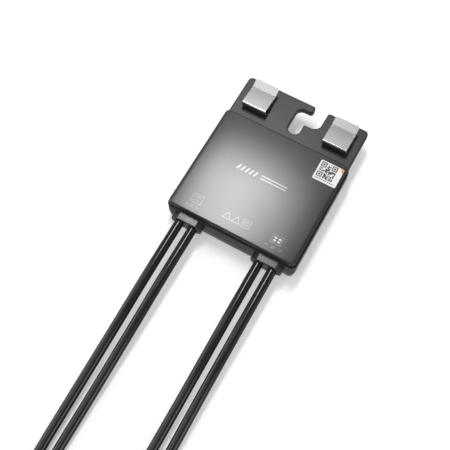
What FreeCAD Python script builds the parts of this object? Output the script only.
"""Module-level DC power optimizer: sealed housing, hook flange with two spring clips, four cables.

Frame: millimetres, +Z out of the front cover, +Y towards the hook flange, cables leave towards -Y.
The origin is the bottom centre of the device without its cables. The back face lies on Z = 0.
"""
import FreeCAD, Part
import math
import os
import types

import Sketcher
from FreeCAD import Placement, Rotation, Vector

SIZES = {
    # whole device
    "overall_length": 118.4, "gland_reach": 5.0, "body_width": 94.0, "body_length": 81.6,
    "body_height": 22.0, "parting_height": 17.2, "wall": 2.6, "floor_thickness": 2.0,
    "corner_radius": 4.0, "draft_height": 8.0, "draft_inset": 1.2,
    # how far pieces that become one solid run into each other, and cutters past what they cut
    "overlap": 0.5, "excess": 1.0,
    # cover
    "cover_inset": 1.05, "cover_top": 2.0, "cover_wall": 2.2, "cover_edge_round": 1.1,
    "tongue_depth": 1.9, "tongue_wall": 1.2, "tongue_gap": 0.15, "gasket_section": 0.9,
    "gasket_inset": 1.4,
    # flange and hook slot
    "flange_width": 91.6, "flange_thickness": 5.0, "flange_corner": 3.0, "flange_edge_round": 0.8,
    "slot_width": 9.0, "slot_depth": 26.3, "hook_thickness": 5.7, "hook_tip_x": 5.7, "hook_tip_round": 2.2,
    "mouth_width": 9.4, "mouth_round": 1.8, "passage_depth": 16.0, "passage_round": 5.6,
    "rib_width": 2.4, "rib_length": 20.0, "rib_depth": 5.0, "rib_reach": 8.0,
    # spring clips
    "clip_offset": 30.4, "clip_width": 17.6, "clip_sheet": 0.8, "clip_height": 6.8,
    "clip_front": 24.8, "clip_throat": 9.0, "clip_mouth": 3.6, "clip_drop": 1.5, "clip_lip_rise": 2.2,
    "clip_gap": 0.3, "clip_bend_round": 1.0, "foot_before_throat": 1.5, "notch_before_throat": 0.8,
    "notch_depth": 2.0, "notch_slant": 1.0, "barb_size": 2.4, "barb_drop": 1.5, "barb_thickness": 0.7,
    "rivet_radius": 1.5, "rivet_spacing": 9.0, "rivet_from_bend": 5.0, "rivet_head_radius": 2.6,
    "rivet_tail_radius": 2.3, "rivet_head_depth": 0.8,
    # cable glands
    "gland_offset": 29.2, "gland_width": 22.0, "gland_height": 10.7, "gland_flat": 13.6,
    "gland_side": 3.6, "gland_edge_round": 0.7, "neck_width": 17.6, "neck_height": 8.6,
    "gland_lock": 1.8, "lock_width": 21.6, "lock_height": 8.2,
    "cable_spacing": 9.8, "cable_diameter": 6.4, "conductor_diameter": 2.6,
    "jacket_inside": 3.0, "conductor_length": 9.0,
    # circuit board and what stands on it
    "board_width": 83.0, "board_length": 66.0, "board_thickness": 1.6, "board_bottom": 4.6,
    "board_shift": 3.0, "boss_x": 40.4, "boss_inset_front": 12.0, "boss_inset_back": 7.4,
    "boss_radius": 3.4, "boss_gap": 0.6, "post_step": 2.6, "pilot_depth": 5.4,
    "screw_radius": 1.5, "thread_radius": 1.2, "screw_head_radius": 2.8, "screw_head_depth": 2.2,
    "screw_length": 14.0, "head_inset": 0.4, "head_gap": 0.3, "screw_gap": 0.1,
    "recess_radius": 1.2, "recess_depth": 1.3,
    "core_x": -8.0, "core_shift": 13.0, "core_width": 22.0, "core_length": 20.0, "core_half": 4.2,
    "core_leg_radius": 4.2, "core_well_radius": 8.2, "core_well_depth": 2.8,
    "winding_radius": 7.9, "winding_bore": 4.6, "winding_height": 5.2, "winding_rise": 1.6,
    "filter_radius": 5.0, "filter_section": 2.2, "filter_rise": 2.25,
    "terminal_side": 5.0, "terminal_rise": 2.4, "terminal_reach": 10.5,
    "pad_width": 48.0, "pad_length": 12.0, "potting_top": 9.4,
    # label
    "label_width": 16.7, "label_length": 15.2, "label_thickness": 0.2, "label_x": 35.95,
    "label_from_front": 69.1,
    # cable connectors
    "nut_radius": 8.2, "nut_length": 15.0, "nut_bore": 3.6, "nut_lip": 3.0, "nut_wall": 2.3,
    "grip_radius": 0.9, "grip_start": 4.0, "seal_radius": 5.4, "seal_length": 8.0, "seal_gap": 0.2,
    "shell_radius": 7.1, "shell_length": 22.0, "skirt_length": 3.4,
    "nose_radius": 5.6, "nose_length": 12.0, "plug_mouth_radius": 4.4, "socket_mouth_radius": 3.4,
    "mouth_depth": 7.0, "contact_radius": 2.0, "contact_inset": 2.0, "plug_contact_length": 30.0,
    "socket_contact_length": 20.0, "latch_width": 1.6, "latch_length": 13.0, "latch_height": 4.4,
    "latch_spread": 6.6, "latch_reach": 5.5,
    # output cable coils
    "coil_x": -36.0, "coil_reach": 250.0, "coil_outer_turn": 38.4, "coil_inner_turn": 31.9,
    "layer_pitch": 6.5, "coil_edge_round": 3.0,
}

doc = FreeCAD.newDocument("PowerOptimizer")
sheet = doc.addObject("Spreadsheet::Sheet", "Sizes")
for row, (alias, amount) in enumerate(SIZES.items(), start=1):
    sheet.set(f"A{row}", alias)
    sheet.set(f"B{row}", str(amount))
    sheet.setAlias(f"B{row}", alias)
doc.recompute()

S = types.SimpleNamespace(**SIZES)
nodes = {}

# Places worked out from the driving sizes, as numbers and as expressions on the sheet.
EXIT_Y = -S.overall_length / 2
BACK_Y = S.overall_length / 2
FRONT_Y = EXIT_Y + S.gland_reach
FRONT = "(-Sizes.overall_length / 2 + Sizes.gland_reach)"
BODY_BACK = f"({FRONT} + Sizes.body_length)"
FLANGE_BACK = "(Sizes.overall_length / 2)"
BOSS_PLACES = [
    (f"{side} * Sizes.boss_x", place)
    for side in (-1, 1)
    for place in (f"{FRONT} + Sizes.boss_inset_front", f"{BODY_BACK} - Sizes.boss_inset_back")
]
GLAND_Z = "(Sizes.parting_height - Sizes.gland_height / 2)"
gland_z = S.parting_height - S.gland_height / 2


# ---------------------------------------------------------------- building helpers

def bind(thing, **expressions):
    """Bind properties to expressions on the sheet: length -> Length, x -> Placement.Base.x."""
    for name, expression in expressions.items():
        path = f"Placement.Base.{name}" if name in ("x", "y", "z") else name
        thing.setExpression(path, str(expression))
    return thing


def box(name, width, length, height, x="0", y="0", z="0"):
    """A block centred on x and y, standing on z."""
    block = doc.addObject("Part::Box", name)
    return bind(block, Length=width, Width=length, Height=height,
                x=f"{x} - ({width}) / 2", y=f"{y} - ({length}) / 2", z=z)


def rod(name, radius, length, x="0", y="0", z="0", along="z"):
    """A cylinder from its start point, along +Z, or along -Y for parts on a cable's axis."""
    cylinder = doc.addObject("Part::Cylinder", name)
    if along == "-y":
        cylinder.Placement = Placement(Vector(), Rotation(Vector(1, 0, 0), 90))
    return bind(cylinder, Radius=radius, Height=length, x=x, y=y, z=z)


def fuse(name, pieces):
    joined = doc.addObject("Part::MultiFuse", name)
    joined.Shapes = pieces
    return joined


def cut(name, base, tools):
    tool = tools[0] if len(tools) == 1 else fuse(name + "_tools", tools)
    result = doc.addObject("Part::Cut", name)
    result.Base, result.Tool = base, tool
    return result


def group(name, pieces):
    """Several identical separate solids in one node."""
    together = doc.addObject("Part::Compound", name)
    together.Links = pieces
    return together


def keep(name, thing):
    """Make an object a sub-part of the device, under its own name."""
    thing.Label = name
    nodes[name] = thing
    return thing


def new_body(name):
    return doc.addObject("PartDesign::Body", name)


def sketch_in(body, name, role="XY_Plane", level="0"):
    """A sketch on one of the body's own origin planes, moved along the plane's normal."""
    sketch = body.newObject("Sketcher::SketchObject", name)
    plane = next(f for f in body.Origin.OriginFeatures if f.Role == role)
    sketch.AttachmentSupport = [(plane, "")]
    sketch.MapMode = "FlatFace"
    sketch.setExpression("AttachmentOffset.Base.z", level)
    return sketch


def draw_rectangle(sketch, left, right, low, high):
    """A constrained rectangle; the four sides follow expressions on the sheet."""
    start = len(sketch.Geometry)
    corners = [Vector(-1, -1, 0), Vector(1, -1, 0), Vector(1, 1, 0), Vector(-1, 1, 0)]
    for i in range(4):
        sketch.addGeometry(Part.LineSegment(corners[i], corners[(i + 1) % 4]))
    for i in range(4):
        sketch.addConstraint(Sketcher.Constraint("Coincident", start + i, 2, start + (i + 1) % 4, 1))
    for i, way in enumerate(("Horizontal", "Vertical", "Horizontal", "Vertical")):
        sketch.addConstraint(Sketcher.Constraint(way, start + i))
    for way, point, expression in (("DistanceX", (start, 1), left), ("DistanceX", (start + 1, 1), right),
                                   ("DistanceY", (start, 1), low), ("DistanceY", (start + 2, 1), high)):
        number = sketch.addConstraint(Sketcher.Constraint(way, -1, 1, *point, 1.0))
        sketch.setExpression(f"Constraints[{number}]", expression)


def rounded(points):
    """Lines and arcs of a closed outline; each point is (x, y) or (x, y, corner radius)."""
    count = len(points)
    pieces, ends = [], []
    for i in range(count):
        here = Vector(points[i][0], points[i][1], 0)
        radius = points[i][2] if len(points[i]) > 2 else 0
        back = (Vector(*points[i - 1][:2], 0) - here).normalize()
        ahead = (Vector(*points[(i + 1) % count][:2], 0) - here).normalize()
        if not radius:
            ends.append((here, here, None))
            continue
        half = back.getAngle(ahead) / 2
        centre = here + (back + ahead).normalize() * (radius / math.sin(half))
        first, last = (here + way * (radius / math.tan(half)) for way in (back, ahead))
        ends.append((first, last, centre))
    for i, (first, last, centre) in enumerate(ends):
        if centre is not None:
            angles = [math.atan2(p.y - centre.y, p.x - centre.x) for p in (first, last)]
            if (first - centre).cross(last - centre).z < 0:
                angles.reverse()
            if angles[1] < angles[0]:
                angles[1] += 2 * math.pi
            circle = Part.Circle(centre, Vector(0, 0, 1), (first - centre).Length)
            pieces.append(Part.ArcOfCircle(circle, *angles))
        following = ends[(i + 1) % count][0]
        if (following - last).Length > 1e-6:
            pieces.append(Part.LineSegment(last, following))
    return pieces


def draw_outline(sketch, points):
    for piece in rounded(points):
        sketch.addGeometry(piece)


def feature(body, kind, name, sketch, length, **settings):
    made = body.newObject(f"PartDesign::{kind}", name)
    made.Profile = sketch
    made.setExpression("Length", length)
    for setting, amount in settings.items():
        setattr(made, setting, amount)
    doc.recompute()
    return made


def pocket(body, name, sketch, length, **settings):
    """A pocket that is checked to remove material."""
    before = body.Shape.Volume
    made = feature(body, "Pocket", name, sketch, length, **settings)
    assert body.Shape.Volume < before - 1e-3, name
    return made


def dress(body, kind, name, choose, settings=None, **sizes):
    """Fillet or chamfer the edges of the body's last shape that the choose function accepts."""
    doc.recompute()
    base = body.Tip
    names = [f"Edge{i}" for i, edge in enumerate(base.Shape.Edges, start=1) if choose(edge)]
    assert names, name
    made = body.newObject(f"PartDesign::{kind}", name)
    made.Base = (base, names)
    for setting, amount in (settings or {}).items():
        setattr(made, setting, amount)
    for prop, expression in sizes.items():
        made.setExpression(prop, expression)
    doc.recompute()
    return made


def lies_at(edge, height):
    box_ = edge.BoundBox
    return abs(box_.ZMin - height) < 1e-4 and abs(box_.ZMax - height) < 1e-4


# ---------------------------------------------------------------- housing

ROUND_END_GAP = 0.01
PASSAGE_SLOPE = 0.4
STEP_ROUND = 0.6
FLANGE_ROOT = 6.0
RIB_X = (-14, 20)


def slot_outline():
    """The hook slot: a mouth in the back edge, a passage to the left and a blind slot."""
    half = S.slot_width / 2
    end = half - ROUND_END_GAP
    back, past = BACK_Y, BACK_Y + S.excess
    right = S.hook_tip_x + S.mouth_width
    low = back - S.passage_depth
    return [
        (S.hook_tip_x, past), (S.hook_tip_x, back - S.hook_thickness, S.hook_tip_round),
        (-half, back - S.hook_thickness, end), (-half, back - S.slot_depth, end),
        (half, back - S.slot_depth, end), (half, low - PASSAGE_SLOPE, STEP_ROUND),
        (right, low, S.passage_round), (right, past),
    ]


def make_base():
    """Tub with the hook flange moulded on; open at the top, with screw bosses and cable windows."""
    body = new_body("base_block_body")
    plan = sketch_in(body, "base_plan")
    draw_rectangle(plan, "-Sizes.body_width / 2", "Sizes.body_width / 2", FRONT, BODY_BACK)
    feature(body, "Pad", "base_block", plan, "Sizes.parting_height")
    dress(body, "Fillet", "base_corners", lambda e: e.Length > 10 and e.BoundBox.ZLength > 10,
          Radius="Sizes.corner_radius")
    dress(body, "Chamfer", "drafted_sides", lambda e: lies_at(e, 0),
          {"ChamferType": "Two distances", "FlipDirection": True},
          Size="Sizes.draft_inset", Size2="Sizes.draft_height")
    flange = sketch_in(body, "flange_plan", level="Sizes.parting_height - Sizes.flange_thickness")
    half = S.flange_width / 2
    inner = FRONT_Y + S.body_length - FLANGE_ROOT
    draw_outline(flange, [(-half, inner), (half, inner), (half, BACK_Y, S.flange_corner),
                          (-half, BACK_Y, S.flange_corner)])
    feature(body, "Pad", "flange_plate", flange, "Sizes.flange_thickness")
    hook = sketch_in(body, "slot_plan", level="Sizes.parting_height + Sizes.excess")
    draw_outline(hook, slot_outline())
    pocket(body, "hook_slot", hook, "Sizes.flange_thickness + 2 * Sizes.excess")
    dress(body, "Fillet", "mouth_corners",
          lambda e: e.BoundBox.ZLength > S.flange_thickness - 1 and e.BoundBox.YMin > BACK_Y - 1e-4
          and S.hook_tip_x - 1 < e.BoundBox.XMin < S.hook_tip_x + S.mouth_width + 1,
          Radius="Sizes.mouth_round")
    hollow = sketch_in(body, "hollow_plan", level="Sizes.parting_height")
    draw_rectangle(hollow, "-Sizes.body_width / 2 + Sizes.wall", "Sizes.body_width / 2 - Sizes.wall",
                   f"{FRONT} + Sizes.wall", f"{BODY_BACK} - Sizes.wall")
    pocket(body, "hollow", hollow, "Sizes.parting_height - Sizes.floor_thickness")
    windows = sketch_in(body, "window_plan", "XZ_Plane", f"-({FRONT}) + Sizes.excess")
    for side in (-1, 1):
        draw_rectangle(windows, f"{side} * Sizes.gland_offset - Sizes.neck_width / 2",
                       f"{side} * Sizes.gland_offset + Sizes.neck_width / 2",
                       f"{GLAND_Z} - Sizes.neck_height / 2", f"{GLAND_Z} + Sizes.neck_height / 2")
    pocket(body, "cable_windows", windows, "Sizes.wall + Sizes.excess")
    back_low = S.parting_height - S.flange_thickness
    dress(body, "Fillet", "flange_edges",
          lambda e: (lies_at(e, S.parting_height) or lies_at(e, back_low))
          and e.BoundBox.YMin > FRONT_Y + S.body_length + 0.1,
          Radius="Sizes.flange_edge_round")
    solid = [rod(f"boss_{i}", "Sizes.boss_radius",
                 "Sizes.parting_height - Sizes.post_step - Sizes.floor_thickness + Sizes.overlap", x, y,
                 "Sizes.floor_thickness - Sizes.overlap") for i, (x, y) in enumerate(BOSS_PLACES)]
    ribs = [box(f"flange_rib_{i}", "Sizes.rib_width", "Sizes.rib_length", "Sizes.rib_depth + Sizes.overlap",
                f"{x}", f"{BODY_BACK} + Sizes.rib_reach",
                "Sizes.parting_height - Sizes.flange_thickness - Sizes.rib_depth")
            for i, x in enumerate(RIB_X)]
    holes = []
    for i, (x, y) in enumerate(BOSS_PLACES):
        holes.append(rod(f"screw_way_{i}", "Sizes.screw_radius + Sizes.screw_gap", "Sizes.parting_height",
                         x, y))
        holes.append(rod(f"head_sink_{i}", "Sizes.screw_head_radius + Sizes.head_gap",
                         "Sizes.screw_head_depth + Sizes.head_inset", x, y))
    for i, (x, y) in enumerate(RIVET_PLACES):
        holes.append(rod(f"rivet_way_{i}", "Sizes.rivet_radius",
                         "Sizes.flange_thickness + 2 * Sizes.excess", x, y,
                         "Sizes.parting_height - Sizes.flange_thickness - Sizes.excess"))
    keep("base_housing", cut("base_housing_cut", fuse("base_with_bosses", [body] + solid + ribs), holes))


RIVET_PLACES = [
    (f"{side} * Sizes.clip_offset + {way} * Sizes.rivet_spacing / 2",
     f"{FLANGE_BACK} - Sizes.clip_front + Sizes.clip_height + Sizes.rivet_from_bend")
    for side in (-1, 1) for way in (-1, 1)
]


COVER_ROOM = "(Sizes.body_height - Sizes.parting_height - Sizes.cover_top)"


def make_cover():
    """Drawn cover that sits on the tub, with a rounded rim, screw posts and a locating tongue."""
    body = new_body("cover_block_body")
    plan = sketch_in(body, "cover_plan", level="Sizes.parting_height")
    draw_rectangle(plan, "-Sizes.body_width / 2 + Sizes.cover_inset",
                   "Sizes.body_width / 2 - Sizes.cover_inset",
                   f"{FRONT} + Sizes.cover_inset", f"{BODY_BACK} - Sizes.cover_inset")
    feature(body, "Pad", "cover_block", plan, "Sizes.body_height - Sizes.parting_height")
    dress(body, "Fillet", "cover_corners", lambda e: e.BoundBox.ZLength > 3,
          Radius="Sizes.corner_radius - Sizes.cover_inset")
    dress(body, "Fillet", "cover_rim", lambda e: lies_at(e, S.body_height),
          Radius="Sizes.cover_edge_round")
    hollow = sketch_in(body, "cover_hollow_plan", level="Sizes.body_height - Sizes.cover_top")
    inset = "Sizes.cover_inset - Sizes.cover_wall"
    draw_rectangle(hollow, f"-Sizes.body_width / 2 + 2 * Sizes.cover_inset - {inset}",
                   f"Sizes.body_width / 2 - 2 * Sizes.cover_inset + {inset}",
                   f"{FRONT} + 2 * Sizes.cover_inset - {inset}",
                   f"{BODY_BACK} - 2 * Sizes.cover_inset + {inset}")
    pocket(body, "cover_hollow", hollow, "Sizes.body_height - Sizes.parting_height")
    posts = [rod(f"post_{i}", "Sizes.boss_radius", f"{COVER_ROOM} + Sizes.post_step + Sizes.overlap", x, y,
                 "Sizes.parting_height - Sizes.post_step") for i, (x, y) in enumerate(BOSS_PLACES)]
    width = "Sizes.body_width - 2 * (Sizes.wall + Sizes.tongue_gap)"
    length = "Sizes.body_length - 2 * (Sizes.wall + Sizes.tongue_gap)"
    middle = f"({FRONT} + {BODY_BACK}) / 2"
    tall = f"(Sizes.tongue_depth + {COVER_ROOM} + Sizes.overlap)"
    low = "Sizes.parting_height - Sizes.tongue_depth"
    tongue_out = box("tongue_out", width, length, tall, "0", middle, low)
    tongue_in = box("tongue_in", f"{width} - 2 * Sizes.tongue_wall", f"{length} - 2 * Sizes.tongue_wall",
                    f"{tall} + 2 * Sizes.excess", "0", middle, f"{low} - Sizes.excess")
    tongue = cut("tongue", tongue_out, [tongue_in])
    groove = gasket_ring("cover_groove")
    pilots = [rod(f"pilot_{i}", "Sizes.thread_radius", "Sizes.pilot_depth", x, y,
                  "Sizes.parting_height - Sizes.post_step - Sizes.screw_gap")
              for i, (x, y) in enumerate(BOSS_PLACES)]
    keep("front_cover", cut("front_cover_cut", fuse("cover_with_posts", [body, tongue] + posts),
                           pilots + [groove]))


def gasket_ring(name):
    """The square ring that the gasket fills, in the cover's rim just above the parting plane."""
    inset = "(Sizes.gasket_inset + Sizes.gasket_section)"
    middle = f"({FRONT} + {BODY_BACK}) / 2"
    outer = box(f"{name}_out", "Sizes.body_width - 2 * Sizes.gasket_inset",
                "Sizes.body_length - 2 * Sizes.gasket_inset", "Sizes.gasket_section", "0", middle,
                "Sizes.parting_height")
    inner = box(f"{name}_in", f"Sizes.body_width - 2 * {inset}", f"Sizes.body_length - 2 * {inset}",
                "Sizes.gasket_section + 2 * Sizes.excess", "0", middle, "Sizes.parting_height - Sizes.excess")
    return cut(f"{name}_ring", outer, [inner])


def make_gasket():
    """Square-section sealing cord in the cover's groove, pressed on the tub's wall."""
    keep("cover_gasket", gasket_ring("cover_gasket"))


def make_screws():
    """Four screws from the back of the tub into the cover's posts."""
    screws = []
    for i, (x, y) in enumerate(BOSS_PLACES):
        head = rod(f"screw_head_{i}", "Sizes.screw_head_radius", "Sizes.screw_head_depth", x, y,
                   "Sizes.head_inset")
        shank = rod(f"screw_shank_{i}", "Sizes.thread_radius", "Sizes.screw_length", x, y,
                    "Sizes.head_inset + Sizes.screw_head_depth - Sizes.screw_gap")
        recess = rod(f"screw_recess_{i}", "Sizes.recess_radius", "Sizes.recess_depth + Sizes.head_inset",
                     x, y)
        screws.append(cut(f"screw_{i}", fuse(f"screw_solid_{i}", [head, shank]), [recess]))
    keep("cover_screws", group("cover_screws_group", screws))


# ---------------------------------------------------------------- spring clips

BARB_ROOT = 2.2
BARB_TIP = 0.2


def clip_profile():
    """Places in the clip's side view, as (y, z): bend centre, throat, mouth."""
    top = S.parting_height + S.clip_height
    bend_radius = S.clip_height / 2
    bend_y = BACK_Y - S.clip_front + bend_radius
    throat = (BACK_Y - S.clip_throat, top - S.clip_drop)
    mouth = (BACK_Y - S.clip_mouth, top - S.clip_drop + S.clip_lip_rise)
    return bend_y, bend_radius, top, throat, mouth


def make_clip(side, name):
    """Spring-steel clip: a fixed foot with its U-bend, and the sprung leaf with lip and barbs."""
    bend_y, bend_radius, top, throat, mouth = clip_profile()
    sheet_ = S.clip_sheet
    foot = new_body(f"{name}_foot_body")
    start = f"{side} * Sizes.clip_offset - Sizes.clip_width / 2"
    view = sketch_in(foot, f"{name}_foot_view", "YZ_Plane", start)
    centre = Vector(bend_y, S.parting_height + bend_radius, 0)
    quarter = math.pi / 2
    for radius in (bend_radius, bend_radius - sheet_):
        view.addGeometry(Part.ArcOfCircle(Part.Circle(centre, Vector(0, 0, 1), radius), quarter, 3 * quarter))
    low, end = S.parting_height, throat[0] - S.foot_before_throat
    for a, b in (((bend_y, low), (end, low)), ((end, low), (end, low + sheet_)),
                 ((end, low + sheet_), (bend_y, low + sheet_)), ((bend_y, top - sheet_), (bend_y, top))):
        view.addGeometry(Part.LineSegment(Vector(*a, 0), Vector(*b, 0)))
    feature(foot, "Pad", f"{name}_foot_pad", view, "Sizes.clip_width")
    holes = [rod(f"{name}_foot_hole_{i}", "Sizes.rivet_radius", "Sizes.clip_sheet + 2 * Sizes.excess", x, y,
                 "Sizes.parting_height - Sizes.excess")
             for i, (x, y) in enumerate(RIVET_PLACES) if (side < 0) == x.startswith("-1")]
    keep(f"{name}_clip_foot", cut(f"{name}_clip_foot_cut", foot, holes))

    leaf = new_body(f"{name}_leaf_body")
    view = sketch_in(leaf, f"{name}_leaf_view", "YZ_Plane", start)
    root_y = bend_y + S.clip_gap
    bend = S.clip_bend_round
    draw_outline(view, [(root_y, top - sheet_), (throat[0], throat[1] - sheet_, bend),
                        (mouth[0], mouth[1] - sheet_), mouth, (throat[0], throat[1], bend), (root_y, top)])
    feature(leaf, "Pad", f"{name}_leaf_pad", view, "Sizes.clip_width")
    notch = sketch_in(leaf, f"{name}_notch_plan",
                      level="Sizes.parting_height + Sizes.clip_height + Sizes.excess")
    y = throat[0] - S.notch_before_throat
    for edge in (-1, 1):
        x = side * S.clip_offset + edge * S.clip_width / 2
        outside = x + edge * S.excess
        draw_outline(notch, [(outside, y), (outside, y - S.barb_size - S.notch_slant), (x, y - S.barb_size),
                             (x - edge * S.notch_depth, y)])
    pocket(leaf, f"{name}_notches", notch, "Sizes.clip_height")
    barbs = []
    for edge in (-1, 1):
        inner_x = side * S.clip_offset + edge * (S.clip_width / 2 - S.notch_depth)
        root_x = inner_x - edge * BARB_ROOT
        under = throat[1] - sheet_ / 2
        tooth = [Vector(inner_x, y, under), Vector(inner_x, y - S.barb_thickness, under),
                 Vector(root_x, y - S.barb_thickness, under), Vector(root_x, y, under)]
        tip = Vector(inner_x - edge * BARB_TIP, y - S.barb_thickness / 2, under - S.barb_drop)
        barb = doc.addObject("Part::Feature", f"{name}_barb_{edge + 1}")
        faces = [Part.Face(Part.makePolygon(tooth + [tooth[0]]))]
        for first, second in zip(tooth, tooth[1:] + tooth[:1]):
            faces.append(Part.Face(Part.makePolygon([first, second, tip, first])))
        solid = Part.Solid(Part.Shell(faces))
        if solid.Volume < 0:
            solid.reverse()
        barb.Shape = solid
        barbs.append(barb)
    keep(f"{name}_clip_leaf", fuse(f"{name}_clip_leaf_fuse", [leaf] + barbs))


def make_rivets():
    """Two rivets through each clip's foot and the flange."""
    rivets = []
    for i, (x, y) in enumerate(RIVET_PLACES):
        flange_low = "Sizes.parting_height - Sizes.flange_thickness"
        parts = [
            rod(f"rivet_shank_{i}", "Sizes.rivet_radius", "Sizes.flange_thickness + Sizes.clip_sheet", x, y,
                flange_low),
            rod(f"rivet_head_{i}", "Sizes.rivet_head_radius", "Sizes.rivet_head_depth", x, y,
                "Sizes.parting_height + Sizes.clip_sheet"),
            rod(f"rivet_tail_{i}", "Sizes.rivet_tail_radius", "Sizes.rivet_head_depth", x, y,
                f"{flange_low} - Sizes.rivet_head_depth"),
        ]
        rivets.append(fuse(f"rivet_{i}", parts))
    keep("clip_rivets", group("clip_rivets_group", rivets))


# ---------------------------------------------------------------- glands and inner leads

NOSE_ROUNDS = (1.2, 1.6, 0.8)


def make_gland(side, name):
    """Two-way gland block: chamfered outer nose, neck through the wall, locking flange inside."""
    body = new_body(f"{name}_nose_body")
    middle = side * S.gland_offset
    nose = sketch_in(body, f"{name}_nose_view", "XZ_Plane", f"-({FRONT})")
    half, flat, side_half = S.gland_width / 2, S.gland_flat / 2, S.gland_side / 2
    tall = S.gland_height / 2
    low_round, side_round, top_round = NOSE_ROUNDS
    corners = [(-flat, -tall, low_round), (flat, -tall, low_round), (half, -side_half, side_round),
               (half, side_half, side_round), (flat, tall, top_round), (-flat, tall, top_round),
               (-half, side_half, side_round), (-half, -side_half, side_round)]
    draw_outline(nose, [(middle + x, gland_z + z, radius) for x, z, radius in corners])
    feature(body, "Pad", f"{name}_nose", nose, "Sizes.gland_reach")
    dress(body, "Fillet", f"{name}_nose_edge", lambda e: abs(e.BoundBox.YMax - EXIT_Y) < 1e-4,
          Radius="Sizes.gland_edge_round")
    x = f"{side} * Sizes.gland_offset"
    neck = box(f"{name}_neck", "Sizes.neck_width", "Sizes.wall", "Sizes.neck_height", x,
               f"{FRONT} + Sizes.wall / 2", f"{GLAND_Z} - Sizes.neck_height / 2")
    lock = box(f"{name}_lock", "Sizes.lock_width", "Sizes.gland_lock", "Sizes.lock_height", x,
               f"{FRONT} + Sizes.wall + Sizes.gland_lock / 2",
               f"{GLAND_Z} - Sizes.gland_height / 2 + Sizes.overlap")
    bores = [rod(f"{name}_bore_{i}", "Sizes.cable_diameter / 2",
                 "Sizes.gland_reach + Sizes.wall + Sizes.gland_lock + 2 * Sizes.excess",
                 f"{x} + {way} * Sizes.cable_spacing / 2",
                 f"{FRONT} + Sizes.wall + Sizes.gland_lock + Sizes.excess", GLAND_Z, "-y")
             for i, way in enumerate((-1, 1))]
    keep(f"{name}_cable_gland",
         cut(f"{name}_cable_gland_cut", fuse(f"{name}_gland_solid", [body, neck, lock]), bores))


INSIDE = "(Sizes.wall + Sizes.gland_lock + Sizes.jacket_inside)"


def make_leads():
    """The stretch of each cable inside the device: jacket in the gland, bare conductor to its terminal."""
    for side, name in ((-1, "output"), (1, "input")):
        jackets, conductors = [], []
        for i, way in enumerate((-1, 1)):
            x = f"{side} * Sizes.gland_offset + {way} * Sizes.cable_spacing / 2"
            jackets.append(rod(f"{name}_jacket_{i}", "Sizes.cable_diameter / 2",
                               f"Sizes.gland_reach + {INSIDE}", x, f"{FRONT} + {INSIDE}", GLAND_Z, "-y"))
            conductors.append(rod(f"{name}_conductor_{i}", "Sizes.conductor_diameter / 2",
                                  "Sizes.conductor_length", x,
                                  f"{FRONT} + {INSIDE} + Sizes.conductor_length", GLAND_Z, "-y"))
        keep(f"{name}_lead_jackets", group(f"{name}_jacket_group", jackets))
        keep(f"{name}_lead_conductors", group(f"{name}_conductor_group", conductors))


# ---------------------------------------------------------------- electronics

BOARD_TOP = "(Sizes.board_bottom + Sizes.board_thickness)"
BOARD_Y = f"(({FRONT} + {BODY_BACK}) / 2 + Sizes.board_shift)"
CORE_Y = f"({BOARD_Y} + Sizes.core_shift)"

# Sizes and places of the components, as (width, length, height, x, y) from the board's centre.
COMPONENTS = {
    "switching_transistors": [(6.6, 9.0, 1.8, x, -2) for x in (-20, -8, 4, 16)],
    "input_capacitors": [(5.6, 9.5, 8.0, x, -13) for x in (14, 21.5, 29, 36.5)],
    "output_capacitors": [(5.6, 9.5, 8.0, x, -13) for x in (-36.5, -29, -21.5, -14)],
    "ceramic_capacitors": [(3.2, 2.5, 1.8, x, -13) for x in (-6, -1.5, 3, 7.5)],
    "current_shunt": [(6.4, 3.2, 0.8, 27, -2)],
    "bypass_diode": [(7.0, 8.0, 2.4, -31, -1)],
    "control_chip": [(9.0, 9.0, 1.2, 13, 14)],
    "communication_chip": [(6.0, 6.0, 1.0, 27, 22)],
    "crystal": [(5.0, 3.2, 1.2, 13, 24)],
    "auxiliary_supply": [(8.0, 7.0, 4.0, 32, 8)],
}
FILTER_PLACE = (-30, 20)
PAD_PLACE = (-2, -2)


def on_board(name, width, length, height, x, y):
    """A block soldered to the board; x and y are measured from the board's centre."""
    return box(name, width, length, height, f"{x}", f"{BOARD_Y} + {y}", BOARD_TOP)


def make_board():
    board = box("board_blank", "Sizes.board_width", "Sizes.board_length", "Sizes.board_thickness", "0",
                BOARD_Y, "Sizes.board_bottom")
    notches = [rod(f"board_notch_{i}", "Sizes.boss_radius + Sizes.boss_gap",
                   "Sizes.board_thickness + 2 * Sizes.excess", x, y, "Sizes.board_bottom - Sizes.excess")
               for i, (x, y) in enumerate(BOSS_PLACES)]
    keep("circuit_board", cut("circuit_board_cut", board, notches))


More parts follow.
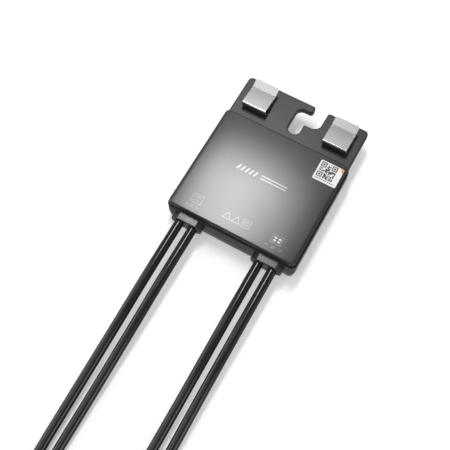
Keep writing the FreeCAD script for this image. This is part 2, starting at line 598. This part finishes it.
def make_inductor():
    """Power inductor: a flat ferrite core in two halves around a copper winding."""
    for i, half in enumerate(("lower", "upper")):
        low = f"{BOARD_TOP} + {i} * Sizes.core_half"
        well_low = f"{BOARD_TOP} + Sizes.core_half" + (" - Sizes.core_well_depth" if half == "lower" else "")
        plate = box(f"core_plate_{half}", "Sizes.core_width", "Sizes.core_length", "Sizes.core_half",
                    "Sizes.core_x", CORE_Y, low)
        leg = rod(f"core_leg_{half}", "Sizes.core_leg_radius", "Sizes.core_half", "Sizes.core_x", CORE_Y, low)
        well = rod(f"core_well_{half}", "Sizes.core_well_radius", "Sizes.core_well_depth", "Sizes.core_x",
                   CORE_Y, well_low)
        ring = cut(f"core_ring_{half}", well, [leg])
        keep(f"inductor_core_{half}", cut(f"inductor_core_{half}_cut", plate, [ring]))
    winding_low = f"{BOARD_TOP} + Sizes.winding_rise"
    winding = rod("winding_out", "Sizes.winding_radius", "Sizes.winding_height", "Sizes.core_x", CORE_Y,
                  winding_low)
    hole = rod("winding_in", "Sizes.winding_bore", "Sizes.winding_height + 2 * Sizes.excess", "Sizes.core_x",
               CORE_Y, f"{winding_low} - Sizes.excess")
    keep("inductor_winding", cut("inductor_winding_cut", winding, [hole]))


def make_components():
    for name, places in COMPONENTS.items():
        made = [on_board(f"{name}_{i}", str(w), str(d), str(tall), x, y)
                for i, (w, d, tall, x, y) in enumerate(places)]
        keep(name, made[0] if len(made) == 1 else group(f"{name}_group", made))
    ring = doc.addObject("Part::Torus", "filter_ring")
    bind(ring, Radius1="Sizes.filter_radius", Radius2="Sizes.filter_section", x=f"{FILTER_PLACE[0]}",
         y=f"{BOARD_Y} + {FILTER_PLACE[1]}", z=f"{BOARD_TOP} + Sizes.filter_rise")
    keep("communication_filter", ring)
    for side, name in ((-1, "output"), (1, "input")):
        blades = []
        for i, way in enumerate((-1, 1)):
            x = f"{side} * Sizes.gland_offset + {way} * Sizes.cable_spacing / 2"
            y = f"{FRONT} + Sizes.wall + Sizes.gland_lock + Sizes.terminal_reach"
            post = box(f"{name}_post_{i}", "Sizes.terminal_side", "Sizes.terminal_side",
                       f"{GLAND_Z} + Sizes.terminal_rise - {BOARD_TOP}", x, y, BOARD_TOP)
            way_in = rod(f"{name}_post_hole_{i}", "Sizes.conductor_diameter / 2",
                         "2 * Sizes.terminal_side", x, f"{y} + Sizes.terminal_side", GLAND_Z, "-y")
            blades.append(cut(f"{name}_terminal_{i}", post, [way_in]))
        keep(f"{name}_terminals", group(f"{name}_terminal_group", blades))
    pad = box("pad_block", "Sizes.pad_width", "Sizes.pad_length",
              "Sizes.board_bottom - Sizes.floor_thickness", f"{PAD_PLACE[0]}", f"{BOARD_Y} + {PAD_PLACE[1]}",
              "Sizes.floor_thickness")
    keep("thermal_pad", pad)


def make_potting():
    """Cast compound around the board: fills the tub up to potting_top, round everything in it."""
    width, length = "Sizes.body_width - 2 * Sizes.wall", "Sizes.body_length - 2 * Sizes.wall"
    block = box("potting_block", width, length, "Sizes.potting_top - Sizes.floor_thickness", "0",
                f"({FRONT} + {BODY_BACK}) / 2", "Sizes.floor_thickness")
    bosses = [rod(f"potting_way_{i}", "Sizes.boss_radius", "Sizes.parting_height", x, y)
              for i, (x, y) in enumerate(BOSS_PLACES)]
    inner = ["circuit_board", "thermal_pad", "switching_transistors", "input_capacitors",
             "output_capacitors", "ceramic_capacitors", "current_shunt", "bypass_diode", "control_chip",
             "communication_chip", "crystal", "auxiliary_supply", "communication_filter",
             "output_terminals", "input_terminals", "output_lead_jackets", "input_lead_jackets",
             "output_lead_conductors", "input_lead_conductors", "left_cable_gland", "right_cable_gland"]
    core = box("potting_core_way", "Sizes.core_width", "Sizes.core_length", "2 * Sizes.core_half",
               "Sizes.core_x", CORE_Y, BOARD_TOP)
    doc.recompute()
    result = doc.addObject("Part::Feature", "potting_compound")
    shape = block.Shape
    for thing in bosses + [core] + [nodes[name] for name in inner]:
        shape = shape.cut(thing.Shape)
    result.Shape = max(shape.Solids, key=lambda solid: solid.Volume)
    keep("potting_compound", result)
    for helper in bosses + [core, block]:
        doc.removeObject(helper.Name)


def make_label():
    label = box("label_block", "Sizes.label_width", "Sizes.label_length", "Sizes.label_thickness",
                "Sizes.label_x", f"{FRONT} + Sizes.label_from_front", "Sizes.body_height")
    keep("code_label", label)


# ---------------------------------------------------------------- cables, coils and connectors

ARC_SHARE = 0.45


def tube_path(points):
    """Straight runs joined by the largest tangent arcs that the runs allow; prints the radii."""
    spots = [Vector(*p) for p in points]
    edges, radii, start = [], [], spots[0]
    for before, here, after in zip(spots, spots[1:], spots[2:]):
        back, ahead = before - here, after - here
        half_turn = (math.pi - back.getAngle(ahead)) / 2
        reach = ARC_SHARE * min(back.Length, ahead.Length)
        radius = reach / math.tan(half_turn)
        back.normalize()
        ahead.normalize()
        first, last = here + back * reach, here + ahead * reach
        inward = (back + ahead).normalize()
        middle = here + inward * (radius / math.cos(half_turn) - radius)
        edges += [Part.LineSegment(start, first).toShape(), Part.Arc(first, middle, last).toShape()]
        radii.append(round(radius, 1))
        start = last
    edges.append(Part.LineSegment(start, spots[-1]).toShape())
    return Part.Wire(edges), radii


def make_tube(name, points):
    wire, radii = tube_path(points)
    radius = S.cable_diameter / 2
    heading = Vector(*points[1]) - Vector(*points[0])
    ring = Part.Wire(Part.makeCircle(radius, Vector(*points[0]), heading))
    pipe = wire.makePipeShell([ring], True, True)
    due = math.pi * radius ** 2 * wire.Length
    assert abs(pipe.Volume / due - 1) < 0.01, (name, pipe.Volume, due)
    print(f"{name}: length {wire.Length:.1f} mm, bend radii {radii}")
    tube = doc.addObject("Part::Feature", name + "_tube")
    tube.Shape = pipe
    keep(name, tube)


def make_coil(name, layer):
    """The outer shape of a coil of four turns, two turns wide and two layers high."""
    pitch, thick = S.layer_pitch, S.cable_diameter / 2
    inner, outer = S.coil_inner_turn - thick, S.coil_outer_turn + thick
    low = layer * pitch
    corner, high = S.coil_edge_round, low + 2 * pitch
    view = rounded([(inner, low, corner), (outer, low, corner), (outer, high, corner), (inner, high, corner)])
    face = Part.Face(Part.Wire(Part.__sortEdges__([piece.toShape() for piece in view])))
    face.rotate(Vector(), Vector(1, 0, 0), 90)
    coil = doc.addObject("Part::Feature", name + "_ring")
    coil.Shape = face.revolve(Vector(), Vector(0, 0, 1), 360)
    coil.Placement = Placement(Vector(S.coil_x, EXIT_Y - S.coil_reach, 0), Rotation())
    keep(name, coil)


# Routes as (x, distance ahead of the gland, height). The stretches to the coils, then the tails.
ROUTES = {
    "output_cable_inner": [(-24.3, 0, 11.85), (-24.3, 30, 11.85), (-24.1, 80, 8.8), (-24.4, 130, 4.6),
                           (-24.6, 173, 3.4), (-18.9, 197, 3.3), (-9.65, 215.6, 3.3), (-1.2, 233.7, 3.3)],
    "output_cable_outer": [(-34.1, 0, 11.85), (-34.1, 30, 11.85), (-33.9, 80, 8.8), (-34.2, 130, 4.6),
                           (-33.8, 174, 3.6), (-27.9, 197, 8.0), (-16.8, 212, 15.6), (-5.74, 226.3, 16.6)],
    "input_cable_inner": [(24.3, 0, 11.85), (24.3, 30, 11.85), (24.5, 80, 8.8), (24.3, 130, 4.6),
                          (23.8, 176, 3.4), (22.3, 218, 4.6), (20.9, 250, 7.6), (20.5, 278, 8.2),
                          (20.5, 290, 8.2)],
    "input_cable_outer": [(34.1, 0, 11.85), (34.1, 30, 11.85), (33.9, 80, 8.8), (34.1, 130, 4.6),
                          (34.8, 176, 3.4), (36.6, 218, 4.6), (38.2, 250, 7.6), (38.6, 278, 8.2),
                          (38.6, 290, 8.2)],
    "output_tail_inner": [(2.4, 250, 9.75), (2.6, 266, 9.6), (2.2, 284, 8.6), (2.0, 298, 8.2),
                          (2.0, 310, 8.2)],
    "output_tail_outer": [(2.4, 250, 22.75), (1.6, 265, 21.4), (-3.6, 279, 16.8), (-10.4, 291, 11.8),
                          (-14.6, 302, 9.1), (-15.9, 313, 8.2), (-15.9, 324, 8.2)],
}


# Where each connector's cap nut begins, as (x, distance ahead of the gland).
CONNECTORS = {
    "input_inner_plug": (20.5, 280), "input_outer_socket": (38.6, 280),
    "output_inner_socket": (2.0, 300), "output_outer_plug": (-15.9, 314),
}


def place(route_point):
    x, ahead, height = route_point
    return (x, EXIT_Y - ahead, height)


GRIPS = 12


def make_connector(name, x, ahead, plug):
    """Single-pole solar connector: cap nut with grip flutes, seal, shell with nose, metal contact."""
    y, z = EXIT_Y - ahead, S.nut_radius
    at = {"x": str(x), "z": "Sizes.nut_radius", "along": "-y"}
    nut = rod(f"{name}_nut_blank", "Sizes.nut_radius", "Sizes.nut_length", y=f"{y}", **at)
    flutes = []
    for i in range(GRIPS):
        turn = 2 * math.pi * (i + 0.5) / GRIPS
        flutes.append(rod(f"{name}_grip_{i}", "Sizes.grip_radius", "Sizes.nut_length",
                          str(x + S.nut_radius * math.sin(turn)), f"{y} - Sizes.grip_start",
                          str(z + S.nut_radius * math.cos(turn)), "-y"))
    bore = rod(f"{name}_nut_bore", "Sizes.nut_bore", "Sizes.nut_length + 2 * Sizes.excess",
               y=f"{y} + Sizes.excess", **at)
    well = rod(f"{name}_nut_well", "Sizes.nut_radius - Sizes.nut_wall", "Sizes.nut_length",
               y=f"{y} - Sizes.nut_lip", **at)
    keep(f"{name}_nut", cut(f"{name}_nut_cut", nut, flutes + [bore, well]))
    seal = rod(f"{name}_seal_blank", "Sizes.seal_radius", "Sizes.seal_length",
               y=f"{y} - Sizes.nut_lip - Sizes.seal_gap", **at)
    hole = rod(f"{name}_seal_hole", "Sizes.cable_diameter / 2", "Sizes.nut_length", y=f"{y}", **at)
    keep(f"{name}_seal", cut(f"{name}_seal_cut", seal, [hole]))
    shell_y = f"{y} - Sizes.nut_length - Sizes.seal_gap"
    shell_end = f"{shell_y} - Sizes.shell_length"
    pieces = [
        rod(f"{name}_shell_blank", "Sizes.shell_radius", "Sizes.shell_length", y=shell_y, **at),
        rod(f"{name}_skirt", "Sizes.seal_radius", "Sizes.skirt_length",
            y=f"{shell_y} + Sizes.skirt_length - Sizes.seal_gap", **at),
        rod(f"{name}_nose", "Sizes.nose_radius", "Sizes.nose_length + Sizes.excess",
            y=f"{shell_end} + Sizes.excess", **at),
    ]
    kind = "plug" if plug else "socket"
    mouth = rod(f"{name}_mouth", f"Sizes.{kind}_mouth_radius",
                "Sizes.nose_length + Sizes.mouth_depth + Sizes.excess",
                y=f"{shell_end} + Sizes.mouth_depth + Sizes.excess", **at)
    core = rod(f"{name}_core_way", "Sizes.contact_radius", "2 * Sizes.shell_length",
               y=f"{shell_y} + Sizes.skirt_length + Sizes.excess", **at)
    if plug:
        for i, side in enumerate((-1, 1)):
            pieces.append(box(f"{name}_latch_{i}", "Sizes.latch_width", "Sizes.latch_length",
                              "Sizes.latch_height", f"{x} + {side} * Sizes.latch_spread",
                              f"{shell_end} - Sizes.latch_reach",
                              "Sizes.nut_radius - Sizes.latch_height / 2"))
    keep(f"{name}_shell", cut(f"{name}_shell_cut", fuse(f"{name}_shell_solid", pieces), [mouth, core]))
    contact = rod(f"{name}_contact_rod", "Sizes.contact_radius", f"Sizes.{kind}_contact_length",
                  y=f"{shell_y} + Sizes.contact_inset", **at)
    keep(f"{name}_contact", contact)


def make_cables():
    for name, route in ROUTES.items():
        make_tube(name, [place(p) for p in route])
    make_coil("output_coil_inner", 0)
    make_coil("output_coil_outer", 2)
    for name, (x, ahead) in CONNECTORS.items():
        make_connector(name, x, ahead, plug=name.endswith("plug"))


# ---------------------------------------------------------------- the whole device

make_base()
make_cover()
make_gasket()
make_screws()
make_clip(-1, "left")
make_clip(1, "right")
make_rivets()
make_gland(-1, "left")
make_gland(1, "right")
make_leads()
make_board()
make_inductor()
make_components()
make_potting()
make_label()
make_cables()
doc.recompute()

for thing in doc.Objects:
    if set(thing.State) & {"Invalid", "Error"}:
        raise RuntimeError(f"{thing.Label} failed: {thing.State}")
for name, thing in nodes.items():
    if thing.Shape.isNull() or not thing.Shape.isValid():
        raise RuntimeError(f"{name} has no valid shape")

os.makedirs("parts", exist_ok=True)
for name, thing in nodes.items():
    thing.Shape.exportStep(f"parts/{name}.step")
print(f"{len(nodes)} nodes written")
